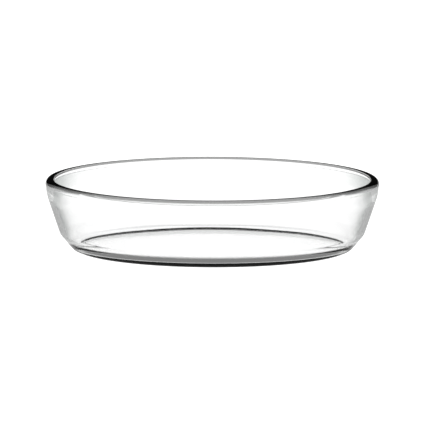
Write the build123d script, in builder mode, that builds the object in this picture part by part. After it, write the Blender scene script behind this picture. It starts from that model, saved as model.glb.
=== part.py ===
from build123d import *
from math import radians, tan
import os

# Oval glass dish, pressed from one gob of clear glass: flat base, rounded heel,
# flaring wall and a thick rounded rim. One piece, nothing moves.
# Origin at the centre of the base, +X along the length, +Z up, millimetres.

# ---- Overall size, measured over the rim -------------------------------------
length = 300.0
width = 210.0
height = 64.5

# ---- Rim: a rounded band that stands just proud of the neck below it ---------
rim_thickness = 7.7
rim_band_height = 5.4
rim_outer_round = 4.5
rim_inner_round = 1.7
seam_step = 0.4
seam_round = 0.2
neck_drop = 12.5
neck_inset = 0.5
neck_radius = 45.0
lip_radius = 25.0

# ---- Wall and base: the wall turns in a little more below the belly, most of all
# at the two ends ----------------------------------------------------------------
wall_angle = 18.5
wall_thickness = 5.6
belly_height = 15.0
belly_angle = 26.0
belly_radius = 33.0
end_tuck = 5.0
base_thickness = 3.8
heel_radius = 6.0
floor_corner_radius = 18.6

# ---- Worked out from the dimensions above ------------------------------------
wall_slope = tan(radians(wall_angle))
band_bottom = height - rim_band_height
neck_height = height - neck_drop
belly_inset = neck_inset + wall_slope * (neck_height - belly_height)
foot_inset = belly_inset + tan(radians(belly_angle)) * belly_height

# The inner wall runs parallel to the outer wall above the belly, and the rim's
# upright inner face meets it where the wall is as thick as stated.
lip_height = neck_height - (rim_thickness - neck_inset - wall_thickness) / wall_slope
floor_inset = rim_thickness + wall_slope * (lip_height - base_thickness)


def outline(inset, tuck=0):
    """The oval that runs evenly inside the rim's outer edge, its ends drawn in by the tuck."""
    return Ellipse(length / 2 - inset - tuck, width / 2 - inset)


def edges_at(part, z):
    """The edges that lie level at height z."""
    return part.edges().filter_by_position(Axis.Z, z, z)


# ---- The dish ------------------------------------------------------------------
with BuildPart() as dish:

    # Solid wall and base, in three stages: foot to belly, belly to neck, neck to rim.
    with BuildSketch(Plane.XY):
        outline(foot_inset, end_tuck)
    with BuildSketch(Plane.XY.offset(belly_height)):
        outline(belly_inset)
    loft()
    with BuildSketch(Plane.XY.offset(belly_height)):
        outline(belly_inset)
    with BuildSketch(Plane.XY.offset(neck_height)):
        outline(neck_inset)
    loft()
    with BuildSketch(Plane.XY.offset(neck_height)):
        outline(neck_inset)
    with BuildSketch(Plane.XY.offset(band_bottom)):
        outline(seam_step)
    loft()
    with BuildSketch(Plane.XY.offset(band_bottom)):
        outline(0)
    extrude(amount=rim_band_height)

    # Rounded heel, and the gentle bends at the belly and the neck.
    fillet(edges_at(dish, 0), radius=heel_radius)
    fillet(edges_at(dish, belly_height), radius=belly_radius)
    fillet(edges_at(dish, neck_height), radius=neck_radius)

    # Hollow: the flaring inner wall, then the upright inner face of the rim.
    with BuildSketch(Plane.XY.offset(base_thickness)):
        outline(floor_inset)
    with BuildSketch(Plane.XY.offset(lip_height)):
        outline(rim_thickness)
    loft(mode=Mode.SUBTRACT)
    with BuildSketch(Plane.XY.offset(lip_height)):
        outline(rim_thickness)
    extrude(amount=height - lip_height, mode=Mode.SUBTRACT)

    # Rounded edges: the rim's top and lower edge, the bend under the lip and the
    # inner floor corner.
    fillet(edges_at(dish, height).sort_by(SortBy.LENGTH)[-1], radius=rim_outer_round)
    fillet(edges_at(dish, height).sort_by(SortBy.LENGTH)[0], radius=rim_inner_round)
    fillet(edges_at(dish, band_bottom).sort_by(SortBy.LENGTH)[-1], radius=seam_round)
    fillet(edges_at(dish, lip_height), radius=lip_radius)
    fillet(edges_at(dish, base_thickness), radius=floor_corner_radius)

dish.part.label = "dish"

os.makedirs("parts", exist_ok=True)
export_step(dish.part, "parts/dish.step")

print("size", dish.part.bounding_box().size)
print("glass volume in cubic centimetres", round(dish.part.volume / 1000, 1))
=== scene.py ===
"""Oval pressed-glass dish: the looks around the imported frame. Metres, +Z up, the dish stands on z = 0."""
import math

import bpy
from mathutils import Matrix, Quaternion, Vector


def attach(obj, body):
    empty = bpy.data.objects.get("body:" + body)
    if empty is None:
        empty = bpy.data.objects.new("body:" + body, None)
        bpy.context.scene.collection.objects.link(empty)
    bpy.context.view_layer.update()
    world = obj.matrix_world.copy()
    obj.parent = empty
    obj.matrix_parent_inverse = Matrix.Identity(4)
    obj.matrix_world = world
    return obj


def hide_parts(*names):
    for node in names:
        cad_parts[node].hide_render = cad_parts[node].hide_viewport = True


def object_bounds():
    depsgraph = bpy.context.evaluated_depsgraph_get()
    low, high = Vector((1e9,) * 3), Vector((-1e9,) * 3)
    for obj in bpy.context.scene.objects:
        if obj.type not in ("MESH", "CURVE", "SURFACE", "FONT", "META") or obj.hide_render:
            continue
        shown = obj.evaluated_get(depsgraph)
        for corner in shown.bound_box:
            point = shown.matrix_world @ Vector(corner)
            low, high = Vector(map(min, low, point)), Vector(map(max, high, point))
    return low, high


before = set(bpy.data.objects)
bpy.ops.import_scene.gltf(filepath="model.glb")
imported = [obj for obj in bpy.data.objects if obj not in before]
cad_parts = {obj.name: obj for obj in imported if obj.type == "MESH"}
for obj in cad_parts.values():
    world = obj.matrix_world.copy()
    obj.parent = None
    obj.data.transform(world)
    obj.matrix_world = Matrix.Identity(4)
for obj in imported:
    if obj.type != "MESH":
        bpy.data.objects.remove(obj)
cad_low, cad_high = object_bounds()

# ---- The dish: its overall size is the CAD's, the rest is its section ------------
half_length = cad_high.x
half_width = cad_high.y
height = cad_high.z
rim_thickness = 0.0077
rim_band_height = 0.0054
rim_outer_round = 0.0045
rim_inner_round = 0.0017
seam_step = 0.0004
seam_round = 0.0002
neck_drop = 0.0125
neck_inset = 0.0005
neck_radius = 0.0430
lip_radius = 0.0250
wall_slope = math.tan(math.radians(18.5))
wall_thickness = 0.0056
belly_height = 0.0150
belly_slope = math.tan(math.radians(26.0))
belly_radius = 0.0330
end_tuck = 0.0050
base_thickness = 0.0038
heel_radius = 0.0060
floor_corner_radius = 0.0186
seam_height = height - rim_band_height
neck_height = height - neck_drop
lip_height = neck_height - (rim_thickness - neck_inset - wall_thickness) / wall_slope
belly_inset = neck_inset + wall_slope * (neck_height - belly_height)
foot_inset = belly_inset + belly_slope * belly_height
floor_inset = rim_thickness + wall_slope * (lip_height - base_thickness)

# ---- How finely the glass is cut ---------------------------------------------------
ring_points = 320
floor_rings = 26
profile_spacing = 0.0025

# ---- The faint ripple of the inner wall: waves of (share of the size, waves in a turn
# round the oval, turn in radians per metre of height, turn in radians at the start) --
ripple_size = -0.000015
ripple_waves = ((1.0, 5, 110, 1.3), (0.6, 9, -150, 0.7), (0.4, 14, 70, 0.0))

# ---- The glass. The grey of its slanting parts was set. Facing is 0 where the
# surface is seen square on and 1 where it is seen edge on ----
glass_index = 1.5
absorb_colour = (0.2, 0.22, 0.215, 1)
absorb_density = 15.0
# Painted shade: this grey goes into the glass colour where the glass is seen at a slant. It stands in for
# the dark surroundings seen through and in the glass.
painted_slant_shade = (0.31, 0.33, 0.32, 1)
foot_clear_height = 0.006
foot_grey_height = 0.016
rim_clear_drop = 0.0025
rim_grey_drop = 0.0045
wall_grey_facing = (0.40, 0.88)
mouth_grey_facing = (0.05, 0.62)
mouth_grey_heights = (0.041, 0.050)

# ---- The floor, which shines white and is seen only by the camera -----------------
floor_half_size = 40.0
floor_drop = 0.0004
floor_colour = (0.02, 0.02, 0.02, 1)
floor_glow = 1.35

# ---- The studio's light: angles above the horizon in degrees, brightnesses, and the
# share of the light from below that each reflection inside the glass keeps ----------
horizon_top = 18.0
ceiling_start = 35.0
table_shallow = -22.3
table_steep = -35.0
horizon_light = 1.38
ceiling_light = 0.01
table_light = 0.5
bounce_share = 0.55

# ---- The camera ----------------------------------------------------------------------
camera_azimuth = math.radians(0.0)
camera_elevation = math.radians(11.6)
camera_roll = math.radians(0.15)
camera_distance = 7.5
picture_width = 0.3822
sensor_width = 36.0
farthest_seen = 60.0
aim = Vector((0.0002, 0.0, 0.0333))


# ---- Profile: points of (inset from the rim's outer edge, height) -------------------
def rounded(corner, before, after, radius, steps):
    """Points of the arc that rounds a corner between the directions to its two neighbours."""
    to_before = (Vector(before) - Vector(corner)).normalized()
    to_after = (Vector(after) - Vector(corner)).normalized()
    half_angle = to_before.angle(to_after) / 2
    centre = Vector(corner) + (to_before + to_after).normalized() * (radius / math.sin(half_angle))
    start = Vector(corner) + to_before * (radius / math.tan(half_angle)) - centre
    end = Vector(corner) + to_after * (radius / math.tan(half_angle)) - centre
    turn = start.angle(end)
    sign = 1 if start.x * end.y - start.y * end.x > 0 else -1
    return [centre + Matrix.Rotation(sign * turn * i / steps, 2) @ start for i in range(steps + 1)]


def along(start, end, steps):
    """Evenly spaced points between two points, without its two ends."""
    return [Vector(start).lerp(Vector(end), i / steps) for i in range(1, steps)]


def dish_profile():
    """The glass section from the edge of the base's underside, round the rim, to the edge of the floor."""
    corners = [  # corner, radius of its arc, steps in the arc
        ((foot_inset, 0.0), heel_radius, 16),
        ((belly_inset, belly_height), belly_radius, 8),
        ((neck_inset, neck_height), neck_radius, 6),
        ((seam_step, seam_height), seam_round, 3),
        ((0.0, seam_height), seam_round, 3),
        ((0.0, height), rim_outer_round, 14),
        ((rim_thickness, height), rim_inner_round, 14),
        ((rim_thickness, lip_height), lip_radius, 8),
        ((floor_inset, base_thickness), floor_corner_radius, 20),
    ]
    outline = [(half_width, 0.0)] + [c[0] for c in corners] + [(half_width, base_thickness)]
    points = []
    for i, (corner, radius, steps) in enumerate(corners):
        arc = rounded(corner, outline[i], outline[i + 2], radius, steps)
        if points:
            gap = (arc[0] - points[-1]).length
            points += along(points[-1], arc[0], max(1, round(gap / profile_spacing)))
        points += arc
    return points


# ---- The glass mesh: elliptic rings from the middle of the base to that of the floor --
def ring(point, tuck=0.0):
    """Half length, half width and height of the ring through a point, its ends drawn in by the tuck."""
    return half_length - point.x - tuck, half_width - point.x, point.y


def tuck_at(z):
    """How far the outside is drawn in at its two ends: most at the foot, and not at all above the belly."""
    return end_tuck * max(0.0, 1 - z / belly_height)


def disc(edge, shares):
    """The rings that fill the flat inside an edge ring, each a share of its size."""
    half_x, half_y, z = edge
    return [(half_x * share, half_y * share, z) for share in shares]


def ripple(t, z):
    """How far the inner wall swells at height z and a turn t round the oval. It dies out at the floor."""
    fade = min(1.0, max(0.0, (z - base_thickness) / floor_corner_radius))
    waves = sum(share * math.sin(count * t + rise * z + start) for share, count, rise, start in ripple_waves)
    return fade * ripple_size * waves


def dish_mesh():
    """Sweeps the section round the oval, and marks the points on the inside of the glass."""
    profile = dish_profile()
    rim_top = max(range(len(profile)), key=lambda i: profile[i].y)
    outer = [ring(point, tuck_at(point.y)) for point in profile[:rim_top]]
    inner = [ring(point) for point in profile[rim_top:]]
    spread = [i / floor_rings for i in range(1, floor_rings)]
    rings = disc(outer[0], spread) + outer + inner + disc(inner[-1], reversed(spread))
    last_outside = len(spread) + rim_top

    verts = [(0.0, 0.0, 0.0)]
    marks = [0.0]
    for r, (half_x, half_y, z) in enumerate(rings):
        is_inside = r > last_outside
        for s in range(ring_points):
            t = 2 * math.pi * s / ring_points
            swell = ripple(t, z) if is_inside else 0.0
            verts.append(((half_x + swell) * math.cos(t), (half_y + swell) * math.sin(t), z))
            marks.append(float(is_inside))
    verts.append((0.0, 0.0, base_thickness))
    marks.append(1.0)

    faces = []
    last_vert = len(verts) - 1
    last_ring = 1 + (len(rings) - 1) * ring_points
    for s in range(ring_points):
        n = (s + 1) % ring_points
        faces.append((0, 1 + n, 1 + s))
        for r in range(len(rings) - 1):
            low = 1 + r * ring_points
            high = low + ring_points
            faces.append((low + s, low + n, high + n, high + s))
        faces.append((last_ring + s, last_ring + n, last_vert))

    mesh = bpy.data.meshes.new("dish_glass")
    mesh.from_pydata(verts, [], faces)
    mesh.attributes.new("inside", "FLOAT", "POINT").data.foreach_set("value", marks)
    mesh.validate()
    for face in mesh.polygons:
        face.use_smooth = True
    return mesh


# ---- Nodes that the glass and the world share ----------------------------------------
def feed(tree, socket, value):
    """Sets a socket to a number, or joins another node's output to it."""
    if isinstance(value, float):
        socket.default_value = value
    else:
        tree.links.new(value, socket)


def smooth_ramp(tree, value, start, end, low=0.0, high=1.0):
    """Goes smoothly from low to high as the value goes from start to end."""
    node = tree.nodes.new("ShaderNodeMapRange")
    node.interpolation_type = "SMOOTHSTEP"
    node.inputs["From Min"].default_value = start
    node.inputs["From Max"].default_value = end
    node.inputs["To Min"].default_value = low
    node.inputs["To Max"].default_value = high
    feed(tree, node.inputs["Value"], value)
    return node.outputs["Result"]


def combine(tree, operation, first, second):
    """The result of a Math node on two values."""
    node = tree.nodes.new("ShaderNodeMath")
    node.operation = operation
    feed(tree, node.inputs[0], first)
    feed(tree, node.inputs[1], second)
    return node.outputs["Value"]


def between(tree, factor, first, second):
    """The first value where the factor is 0 and the second where it is 1."""
    node = tree.nodes.new("ShaderNodeMix")
    node.data_type = "FLOAT"
    feed(tree, node.inputs["Factor"], factor)
    feed(tree, node.inputs["A"], first)
    feed(tree, node.inputs["B"], second)
    return node.outputs["Result"]


def glass_material():
    """Clear glass with painted shade: grey put into its colour where its surface is seen at a slant, and
    most so inside the mouth.
    """
    material = bpy.data.materials.new("pressed_glass")
    material.use_nodes = True
    tree = material.node_tree
    shader = tree.nodes["Principled BSDF"]
    shader.inputs["Roughness"].default_value = 0.0
    shader.inputs["IOR"].default_value = glass_index
    shader.inputs["Transmission Weight"].default_value = 1.0

    place = tree.nodes.new("ShaderNodeTexCoord")
    split = tree.nodes.new("ShaderNodeSeparateXYZ")
    tree.links.new(place.outputs["Object"], split.inputs["Vector"])
    z = split.outputs["Z"]
    slant = tree.nodes.new("ShaderNodeLayerWeight")
    slant.inputs["Blend"].default_value = 0.5
    facing = slant.outputs["Facing"]
    inside = tree.nodes.new("ShaderNodeAttribute")
    inside.attribute_name = "inside"

    # Where the painted shade falls: on the wall between the foot and the rim, and more strongly inside the
    # mouth.
    above_foot = smooth_ramp(tree, z, foot_clear_height, foot_grey_height)
    below_rim = smooth_ramp(tree, z, height - rim_clear_drop, height - rim_grey_drop)
    in_wall = combine(tree, "MULTIPLY", above_foot, below_rim)
    in_mouth = combine(tree, "MULTIPLY", inside.outputs["Fac"], smooth_ramp(tree, z, *mouth_grey_heights))
    wall_grey = smooth_ramp(tree, facing, *wall_grey_facing)
    mouth_grey = smooth_ramp(tree, facing, *mouth_grey_facing)
    painted_shade_amount = combine(tree, "MULTIPLY", in_wall, between(tree, in_mouth, wall_grey, mouth_grey))

    # The painted shade goes into the Base Color: white where the glass is clear, grey where it is shaded.
    # A Mix node has its colours in sockets 6 and 7, and its mixed colour in output 2.
    painted_shade_mix = tree.nodes.new("ShaderNodeMix")
    painted_shade_mix.data_type = "RGBA"
    tree.links.new(painted_shade_amount, painted_shade_mix.inputs["Factor"])
    painted_shade_mix.inputs[6].default_value = (1, 1, 1, 1)
    painted_shade_mix.inputs[7].default_value = painted_slant_shade
    tree.links.new(painted_shade_mix.outputs[2], shader.inputs["Base Color"])

    absorb = tree.nodes.new("ShaderNodeVolumeAbsorption")
    absorb.inputs["Color"].default_value = absorb_colour
    absorb.inputs["Density"].default_value = absorb_density
    tree.links.new(absorb.outputs["Volume"], tree.nodes["Material Output"].inputs["Volume"])
    return material


dish = bpy.data.objects.new("glass_dish", dish_mesh())
bpy.context.scene.collection.objects.link(dish)
dish.data.materials.append(glass_material())
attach(dish, "root")
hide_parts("dish")


# ---- Floor, light and camera ---------------------------------------------------------
def floor_plane():
    """A plain white plane just under the dish, which shines for the camera and not into the glass."""
    r = floor_half_size
    z = -floor_drop
    mesh = bpy.data.meshes.new("studio_floor")
    mesh.from_pydata([(-r, -r, z), (r, -r, z), (r, r, z), (-r, r, z)], [], [(0, 1, 2, 3)])
    plane = bpy.data.objects.new("studio_floor", mesh)
    bpy.context.scene.collection.objects.link(plane)
    material = bpy.data.materials.new("pale_floor")
    material.use_nodes = True
    shader = material.node_tree.nodes["Principled BSDF"]
    shader.inputs["Base Color"].default_value = floor_colour
    shader.inputs["Roughness"].default_value = 1.0
    shader.inputs["Specular IOR Level"].default_value = 0.0
    shader.inputs["Emission Color"].default_value = (1, 1, 1, 1)
    shader.inputs["Emission Strength"].default_value = floor_glow
    mesh.materials.append(material)
    plane.visible_transmission = False
    plane.visible_glossy = False
    return plane


floor_plane()


def studio_world():
    """Soft light by direction: bright round the horizon, dark overhead and dim steeply down.

    Two parts aren't physical. Rays reflected upwards always see the dark ceiling, and the light
    from below loses some of its strength at each reflection inside the glass."""
    world = bpy.data.worlds.new("studio")
    world.use_nodes = True
    tree = world.node_tree
    direction = tree.nodes.new("ShaderNodeTexCoord")
    split = tree.nodes.new("ShaderNodeSeparateXYZ")
    tree.links.new(direction.outputs["Generated"], split.inputs["Vector"])
    rise = split.outputs["Z"]
    path = tree.nodes.new("ShaderNodeLightPath")

    def by_angle(low, high, low_light, high_light):
        start, end = math.sin(math.radians(low)), math.sin(math.radians(high))
        return smooth_ramp(tree, rise, start, end, low_light, high_light)

    upper = by_angle(horizon_top, ceiling_start, horizon_light, ceiling_light)
    upper = between(tree, path.outputs["Is Reflection Ray"], upper, ceiling_light)
    kept = combine(tree, "POWER", bounce_share, path.outputs["Glossy Depth"])
    lower = combine(tree, "MULTIPLY", by_angle(table_steep, table_shallow, table_light, horizon_light), kept)
    is_up = combine(tree, "GREATER_THAN", rise, 0.0)
    background = tree.nodes["Background"]
    background.inputs["Color"].default_value = (1, 1, 1, 1)
    tree.links.new(between(tree, is_up, lower, upper), background.inputs["Strength"])
    return world


def studio_camera():
    """A far camera with a long lens, which looks down a little on the long side."""
    data = bpy.data.cameras.new("camera")
    data.sensor_width = sensor_width
    data.lens = sensor_width * camera_distance / picture_width
    data.clip_end = farthest_seen
    camera = bpy.data.objects.new("camera", data)
    bpy.context.scene.collection.objects.link(camera)
    back = Vector((
        math.sin(camera_azimuth) * math.cos(camera_elevation),
        -math.cos(camera_azimuth) * math.cos(camera_elevation),
        math.sin(camera_elevation),
    ))
    camera.location = aim + back * camera_distance
    camera.rotation_mode = "QUATERNION"
    camera.rotation_quaternion = (-back).to_track_quat("-Z", "Y") @ Quaternion((0, 0, 1), camera_roll)
    return camera


bpy.context.scene.world = studio_world()
bpy.context.scene.camera = studio_camera()
bpy.context.scene.view_settings.view_transform = "Standard"
